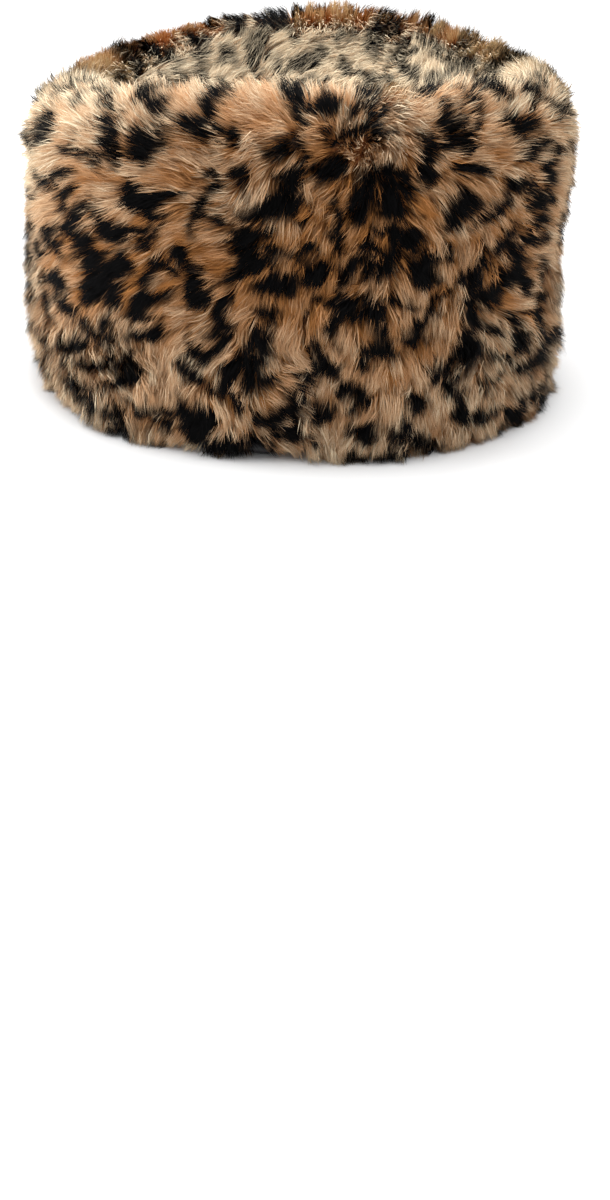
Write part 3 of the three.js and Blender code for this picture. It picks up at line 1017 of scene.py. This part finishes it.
def oval_dish(name, section, swell):
    """Turns a dish's section round the oval. Swell gives how far it rises over places in its plan."""
    angles = np.linspace(0, 2 * math.pi, CROWN_TURNS, endpoint=False)[:, None]
    height = section[:, 1] + swell(place(angles, *section.T)[..., :2])
    ring = place(angles, section[:, 0], height).reshape(-1, 3)
    rows, columns = height.shape
    half = columns // 2
    middles = place(np.zeros(2), np.zeros(2), height[:, [half - 1, half]].mean(axis=0))
    number = np.arange(rows * columns).reshape(rows, columns)
    after = np.roll(number, -1, axis=0)
    order = np.concatenate([np.arange(half)[::-1], np.arange(half, columns)[::-1]])
    inner, outer = order[:-1], order[1:]
    quads = np.stack([number[:, inner], number[:, outer], after[:, outer], after[:, inner]], axis=-1)
    quads = quads.reshape(-1, 4)
    fans = []
    for middle, column, turn in ((len(ring), half - 1, 1), (len(ring) + 1, half, -1)):
        pair = (number[:, column], after[:, column])[::turn]
        fans.append(np.stack([np.full(rows, middle), *pair], axis=1))
    fans = np.vstack(fans)
    loops = np.concatenate([quads.ravel(), fans.ravel()])
    starts = np.concatenate([np.arange(len(quads)) * 4, 4 * len(quads) + np.arange(len(fans)) * 3])
    corners = np.vstack([ring, middles])
    mesh = mesh_of(name, corners, loops, starts)
    keep_print(mesh, corners[:, :2] + CROWN_PRINT)
    return mesh


def crown_cloth(material):
    """The sunken oval panel, fur cloth thick, with the dense underfur on top."""
    section = dish_section(CROWN_RINGS, 0, GAP, CLOTH)
    ease = np.zeros(len(section))
    ease[: CROWN_RINGS - 1] = smooth(np.arange(CROWN_RINGS - 1), 0, 4)

    def swell(spots):
        return CROWN_UNDERFUR * ease * (0.7 + 0.3 * drift(spots, 6, 43))

    add_piece(oval_dish("crown_top_cloth", section, swell), material, "fur", "crown_top")


LINING_POINTS = 30
LINING_TURNS = 200
# Width, seed and depth of the lining's folds, and their width as a share of their length
LINING_FOLDS = ((13, 51, 2.2), (5, 52, 0.6))
FOLD_SQUEEZE = 0.22


def side_lining(material):
    """The satin inside the band, eased into soft upright folds."""
    line = INSIDE.points(LINING_POINTS)
    ahead = unit(np.gradient(line, axis=0))
    inward = np.stack([-ahead[:, 1], ahead[:, 0]], axis=1)
    outer = line + inward * GAP
    inner = line + inward * (GAP + SATIN)
    section = np.vstack([outer, inner[::-1]])
    angles = np.linspace(0, 2 * math.pi, LINING_TURNS, endpoint=False)
    up = np.linspace(0, INSIDE.length, LINING_POINTS)
    ease = eased(up, INSIDE.length, 12, 10)

    def swell(angle):
        spots = panel_spots(angle, up * FOLD_SQUEEZE)
        folds = sum(deep * np.maximum(0, drift(spots, wide, seed)) for wide, seed, deep in LINING_FOLDS)
        return np.hstack([-folds * ease, (folds * ease)[:, ::-1]])

    mesh = oval_shell("lining_side_satin", section, angles, swell, whole=True)
    piece = add_piece(mesh, material, "satin", "lining_side")


TOP_RINGS = 16


def top_lining(material):
    """The satin under the crown, sagging a little between its seams."""
    section = dish_section(TOP_RINGS, CLOTH + GAP, GAP / 4, SATIN)
    row = np.arange(TOP_RINGS - 1)
    ease = smooth(np.concatenate([row, row[::-1]]), 0, 3)

    def swell(spots):
        sag = 0.25 + 1.3 * np.maximum(0, drift(spots, 21, 61)) + 0.4 * drift(spots, 8, 62) ** 2
        return -ease * sag

    mesh = oval_dish("lining_top_satin", section, swell)
    piece = add_piece(mesh, material, "satin", "lining_top")


NAPE_TURNS = 480
NAPE_FOLDS = 58
NAPE_DEPTH = 1.7
NAPE_INSET = 0.02  # how far round the casing stops short of the frame's own, as an angle
ROLL_OUT = 4.5  # how far the casing's edge rolls out past the cloth
ROLL_TALL = 5.0


def nape_section():
    """The gathered casing's section: out under the fur, rolled, then up, over and down inside."""
    outer = SKIN_WIDE - HEM_THICK - GATHER_CLEAR
    inner = outer - GATHER_THICK
    low = -BACK_LIFT
    high = GATHER_TALL - BACK_LIFT
    edge = SKIN_WIDE + ROLL_OUT
    corners = [
        (inner + GATHER_BEVEL, low + 0.1),
        (inner + GATHER_THICK, low + 0.1),
        (SKIN_WIDE, low + 0.1),
        (edge - 1.4, low + 0.3),
        (edge, low + 0.45 * ROLL_TALL),
        (edge - 1.3, low + 0.95 * ROLL_TALL),
        (edge - 3.2, low + 0.85 * ROLL_TALL),
        (SKIN_WIDE - GATHER_FOOT, -GAP - 0.2),
        (outer, -GAP - 0.2),
        (outer, GATHER_TALL / 2 - BACK_LIFT),
        (outer, high - GATHER_BEVEL),
        (inner + GATHER_THICK / 2, high),
        (inner + 0.3, high - 2.2),
        (inner, GATHER_TALL / 2 - BACK_LIFT),
        (inner + 0.2, low + 3),
        (inner + GATHER_BEVEL, low + 0.1),
    ]
    return spline(corners, 48)[:-1]


def nape_band(material):
    """Black satin ruched along the back hem, its folds uneven and deepest halfway up."""
    section = nape_section()
    clear = math.asin(GATHER_START / (SKIN_LONG - HEM_THICK)) + NAPE_INSET
    angles = np.linspace(clear, math.pi - clear, NAPE_TURNS)
    rise = (section[:, 1] + BACK_LIFT) / GATHER_TALL
    inside = smooth(SKIN_WIDE - section[:, 0], HEM_THICK + GATHER_CLEAR, HEM_THICK + 4)
    foot = 1 - smooth(rise, 0.05, 0.16)
    pinch = np.sin(math.pi * np.clip(rise, 0, 1)) ** 0.6

    def swell(angle):
        wander = 1.6 * drift(panel_spots(angle, 40 * rise[:1]), 11, 71)
        spots = panel_spots(angle, 9 * rise)
        fold = 0.5 + 0.5 * np.sin(NAPE_FOLDS * angle + wander + 1.5 * drift(spots, 6, 72))
        deep = NAPE_DEPTH * (0.6 + 0.4 * drift(spots, 9, 73))
        return -fold * deep * inside * pinch - 0.5 * fold * foot * (1 - inside)

    mesh = oval_shell("nape_gather_satin", section, angles, swell)
    piece = add_piece(mesh, material, "satin", "nape_gather")
    middle = place(angles, *section.mean(axis=0))


# Settings


def count_setting(name, description, default, most=130000):
    return IntProperty(name=name, description=description, default=default, min=100, max=most)


def float_setting(name, description, default, unit="NONE"):
    return FloatProperty(name=name, description=description, default=default, unit=unit)


def angle_setting(name, description, degrees):
    turn = math.radians(degrees)
    return FloatProperty(name=name, description=description, default=turn, subtype="ANGLE")


def colour_setting(name, description, default):
    return FloatVectorProperty(name=name, description=description, default=default, subtype="COLOR")


class HatPileSettings(bpy.types.PropertyGroup):
    """Sizes and colours of the long hair."""

    band_strands: count_setting("Band Strands", "Strands in each quarter of the band's pile", 112000)
    crown_strands: count_setting("Crown Strands", "Strands on the crown", 112000)
    hem_strands: count_setting(
        "Hem Strands", "Short strands inside the front half of the turned hem", 7000, 65000
    )
    strand_width: float_setting("Strand Width", "Width of a strand at its widest", 0.00036, "LENGTH")
    # The root's dark rust is partly the fur's own colour and partly painted shade at the bottom of the
    # pile
    root_colour: colour_setting("Root", "Colour at the root", (0.2, 0.065, 0.02))
    body_colour: colour_setting("Body", "Colour half way up", (0.5, 0.206, 0.06))
    tip_colour: colour_setting("Tip", "Colour at the tip", (0.69, 0.575, 0.4))
    ink_colour: colour_setting("Ink", "Colour of the spots", (0.0018, 0.0016, 0.0018))


class HatSatinSettings(bpy.types.PropertyGroup):
    """Colour of the lining."""

    colour: colour_setting("Satin", "Colour of the satin", (0.014, 0.012, 0.014))


class HatStageSettings(bpy.types.PropertyGroup):
    """Floor, lights and camera."""

    floor_colour: colour_setting("Floor", "Colour of the floor", (0.86, 0.86, 0.86))
    azimuth: angle_setting(
        "Azimuth", "Camera's way round the hat: 0 looks at the front, -90 at the -X side", -94
    )
    elevation: angle_setting("Elevation", "Camera's height above the horizon", 19)
    roll: angle_setting("Roll", "Camera's turn about its line of sight", 2.4)
    distance: float_setting("Distance", "From the camera to the middle of the hat", 0.62, "LENGTH")
    overhead: float_setting("Overhead Light", "Power of the large light above", 47.5, "POWER")
    side: float_setting("Side Light", "Power of the light at the hat's back", 17.0, "POWER")
    ambient: float_setting("Ambient", "Strength of the light from all round", 0.38)


class HatSettings(bpy.types.PropertyGroup):
    """All settings of the hat."""

    pile: PointerProperty(type=HatPileSettings, name="Pile", description="The long hair")
    satin: PointerProperty(type=HatSatinSettings, name="Satin", description="The lining")
    stage: PointerProperty(type=HatStageSettings, name="Stage", description="Floor and lights")


# Operators


class HAT_OT_fur_cloth(bpy.types.Operator):
    """Build the fur cloth of the band and of the crown, without its long hair"""

    bl_idname = "fur_hat.fur_cloth"
    bl_label = "Fur Cloth"

    def execute(self, context):
        material = underfur_material()
        band_cloth(True, material, FRONT_PRINT)
        band_cloth(False, material, BACK_PRINT)
        crown_cloth(material)
        return {"FINISHED"}


class HAT_OT_band_pile(bpy.types.Operator):
    """Grow the long hair of the band, a lower and an upper piece on each half"""

    bl_idname = "fur_hat.band_pile"
    bl_label = "Band Pile"

    def execute(self, context):
        count = context.scene.fur_hat.pile.band_strands
        middle = SKIN.length * BAND_SPLIT
        for side, left, hem, parted, shift in (
            ("front", GIRTH / 2, FRONT_HEM, 0, FRONT_PRINT),
            ("back", 0, BACK_HEM, HEM_PULL, BACK_PRINT),
        ):
            for level, low, high, apart in (
                ("lower", hem, middle, parted),
                ("upper", middle, SKIN.length - SEAM_CLEAR, 0),
            ):
                seed = 100 + 10 * (side == "front") + (level == "upper")
                corners = ((left + SIDE_CLEAR, low), (left + GIRTH / 2 - SIDE_CLEAR, high))
                grown = grow(wall_spot, wall_lie, *corners, count, seed, parted=apart)
                add_pile(f"band_{side}_pile_{level}", f"band_{side}", grown, shift, seed)
        return {"FINISHED"}


class HAT_OT_crown_pile(bpy.types.Operator):
    """Grow the long hair of the sunken crown"""

    bl_idname = "fur_hat.crown_pile"
    bl_label = "Crown Pile"

    def execute(self, context):
        count = context.scene.fur_hat.pile.crown_strands
        half = np.array([SEAM_RADIUS, SKIN_LONG - RIM_REACH]) - EDGE_CLEAR
        grown = grow(crown_spot, crown_lie, -half, half, count, 300)
        inside = ((np.abs(grown.lines[:, 0, :2]) / half) ** SQUARENESS).sum(axis=1) < 1
        add_pile("crown_top_pile", "crown_top", grown.only(inside), CROWN_PRINT, 300)
        return {"FINISHED"}


class HAT_OT_hem_pile(bpy.types.Operator):
    """Grow the short hair inside the turned hem"""

    bl_idname = "fur_hat.hem_pile"
    bl_label = "Hem Pile"

    def execute(self, context):
        count = context.scene.fur_hat.pile.hem_strands
        low = (GIRTH / 2 + EDGE_CLEAR, EDGE_CLEAR)
        high = (GIRTH - EDGE_CLEAR, HEM_TURN - HEM_CLEAR)
        grown = grow(hem_spot, hem_lie, low, high, count, 400, scale=0.5)
        add_pile("hem_inside_pile", "band_front", grown, FRONT_PRINT, 400)
        return {"FINISHED"}


class HAT_OT_lining(bpy.types.Operator):
    """Build the satin lining and the gathered band at the nape"""

    bl_idname = "fur_hat.lining"
    bl_label = "Satin Lining"

    def execute(self, context):
        lining = satin_material("satin_lining", 60.0, 0.0006)
        side_lining(lining)
        top_lining(lining)
        nape_band(satin_material("satin_gather", 140.0, 0.0003))
        return {"FINISHED"}


# The stage in metres: what the camera and the lights are aimed at, how far the floor reaches,
# and the lights' sizes and places
HAT_MIDDLE = Vector((0, 0, 0.06))
FLOOR_REACH = 5.0
OVERHEAD_SIZE, OVERHEAD_PLACE = (1.8, 1.6), (0.15, 0.0, 1.5)
SIDE_SIZE, SIDE_PLACE = (0.8, 1.0), (0.0, 1.4, 0.7)


def area_light(name, size, power, place_at):
    lamp = bpy.data.lights.new(name, "AREA")
    lamp.shape = "RECTANGLE"
    lamp.size, lamp.size_y = size
    lamp.energy = power
    light = bpy.data.objects.new(name, lamp)
    bpy.context.scene.collection.objects.link(light)
    light.location = place_at
    light.rotation_euler = (Vector(place_at) - HAT_MIDDLE).to_track_quat("Z", "Y").to_euler()


# The photograph's frame and the place of the hat's middle in it, in pixels
FRAME_WIDE, FRAME_TALL = 610, 1200
MIDDLE_X, MIDDLE_Y = 298.0, 232.5
PIXELS_PER_MM = 2.285
SENSOR = 36.0


def add_camera(stage):
    """A camera aimed at the hat's middle, with the frame shifted so that the hat sits in its top."""
    focal_pixels = PIXELS_PER_MM * stage.distance / MM
    data = bpy.data.cameras.new("camera")
    data.sensor_width = SENSOR
    data.sensor_fit = "AUTO"
    data.lens = SENSOR * focal_pixels / FRAME_TALL
    data.shift_x = (FRAME_WIDE / 2 - MIDDLE_X) / FRAME_TALL
    data.shift_y = (MIDDLE_Y - FRAME_TALL / 2) / FRAME_TALL
    camera = bpy.data.objects.new("camera", data)
    bpy.context.scene.collection.objects.link(camera)
    azimuth, elevation = stage.azimuth, stage.elevation
    back = Vector(
        (
            math.sin(azimuth) * math.cos(elevation),
            -math.cos(azimuth) * math.cos(elevation),
            math.sin(elevation),
        )
    )
    right = Vector((math.cos(azimuth), math.sin(azimuth), 0))
    up = back.cross(right)
    turn = Matrix((right, up, back)).transposed() @ Matrix.Rotation(stage.roll, 3, "Z")
    place_at = HAT_MIDDLE + back * stage.distance
    camera.matrix_world = Matrix.Translation(place_at) @ turn.to_4x4()
    bpy.context.scene.camera = camera


class HAT_OT_stage(bpy.types.Operator):
    """Build the plain pale floor, the soft lights and the camera"""

    bl_idname = "fur_hat.stage"
    bl_label = "Stage"

    def execute(self, context):
        stage = context.scene.fur_hat.stage
        mesh = bpy.data.meshes.new("floor")
        square = ((-1, -1), (1, -1), (1, 1), (-1, 1))
        corners = [(FLOOR_REACH * x, FLOOR_REACH * y, 0) for x, y in square]
        mesh.from_pydata(corners, [], [(0, 1, 2, 3)])
        mesh.materials.append(floor_material())
        floor = bpy.data.objects.new("floor", mesh)
        context.scene.collection.objects.link(floor)
        area_light("overhead", OVERHEAD_SIZE, stage.overhead, OVERHEAD_PLACE)
        area_light("side", SIDE_SIZE, stage.side, SIDE_PLACE)
        world = bpy.data.worlds.new("studio")
        context.scene.world = world
        world.use_nodes = True
        background = world.node_tree.nodes["Background"]
        background.inputs["Color"].default_value = (1, 1, 1, 1)
        background.inputs["Strength"].default_value = stage.ambient
        context.scene.view_settings.view_transform = "Standard"
        add_camera(stage)
        return {"FINISHED"}


STEPS = (
    HAT_OT_fur_cloth,
    HAT_OT_band_pile,
    HAT_OT_crown_pile,
    HAT_OT_hem_pile,
    HAT_OT_lining,
    HAT_OT_stage,
)


class HAT_PT_panel(bpy.types.Panel):
    """Lists the steps that build the hat"""

    bl_idname = "HAT_PT_panel"
    bl_label = "Fur Hat"
    bl_space_type = "VIEW_3D"
    bl_region_type = "UI"
    bl_category = "Fur Hat"

    def draw(self, context):
        for step in STEPS:
            self.layout.operator(step.bl_idname)


CLASSES = (HatPileSettings, HatSatinSettings, HatStageSettings, HatSettings, *STEPS, HAT_PT_panel)


def register():
    for each in CLASSES:
        bpy.utils.register_class(each)
    bpy.types.Scene.fur_hat = PointerProperty(type=HatSettings)


def unregister():
    del bpy.types.Scene.fur_hat
    for each in reversed(CLASSES):
        bpy.utils.unregister_class(each)


def main():
    register()
    for step in STEPS:
        group, name = step.bl_idname.split(".")
        getattr(getattr(bpy.ops, group), name)()


if __name__ == "__main__":
    main()
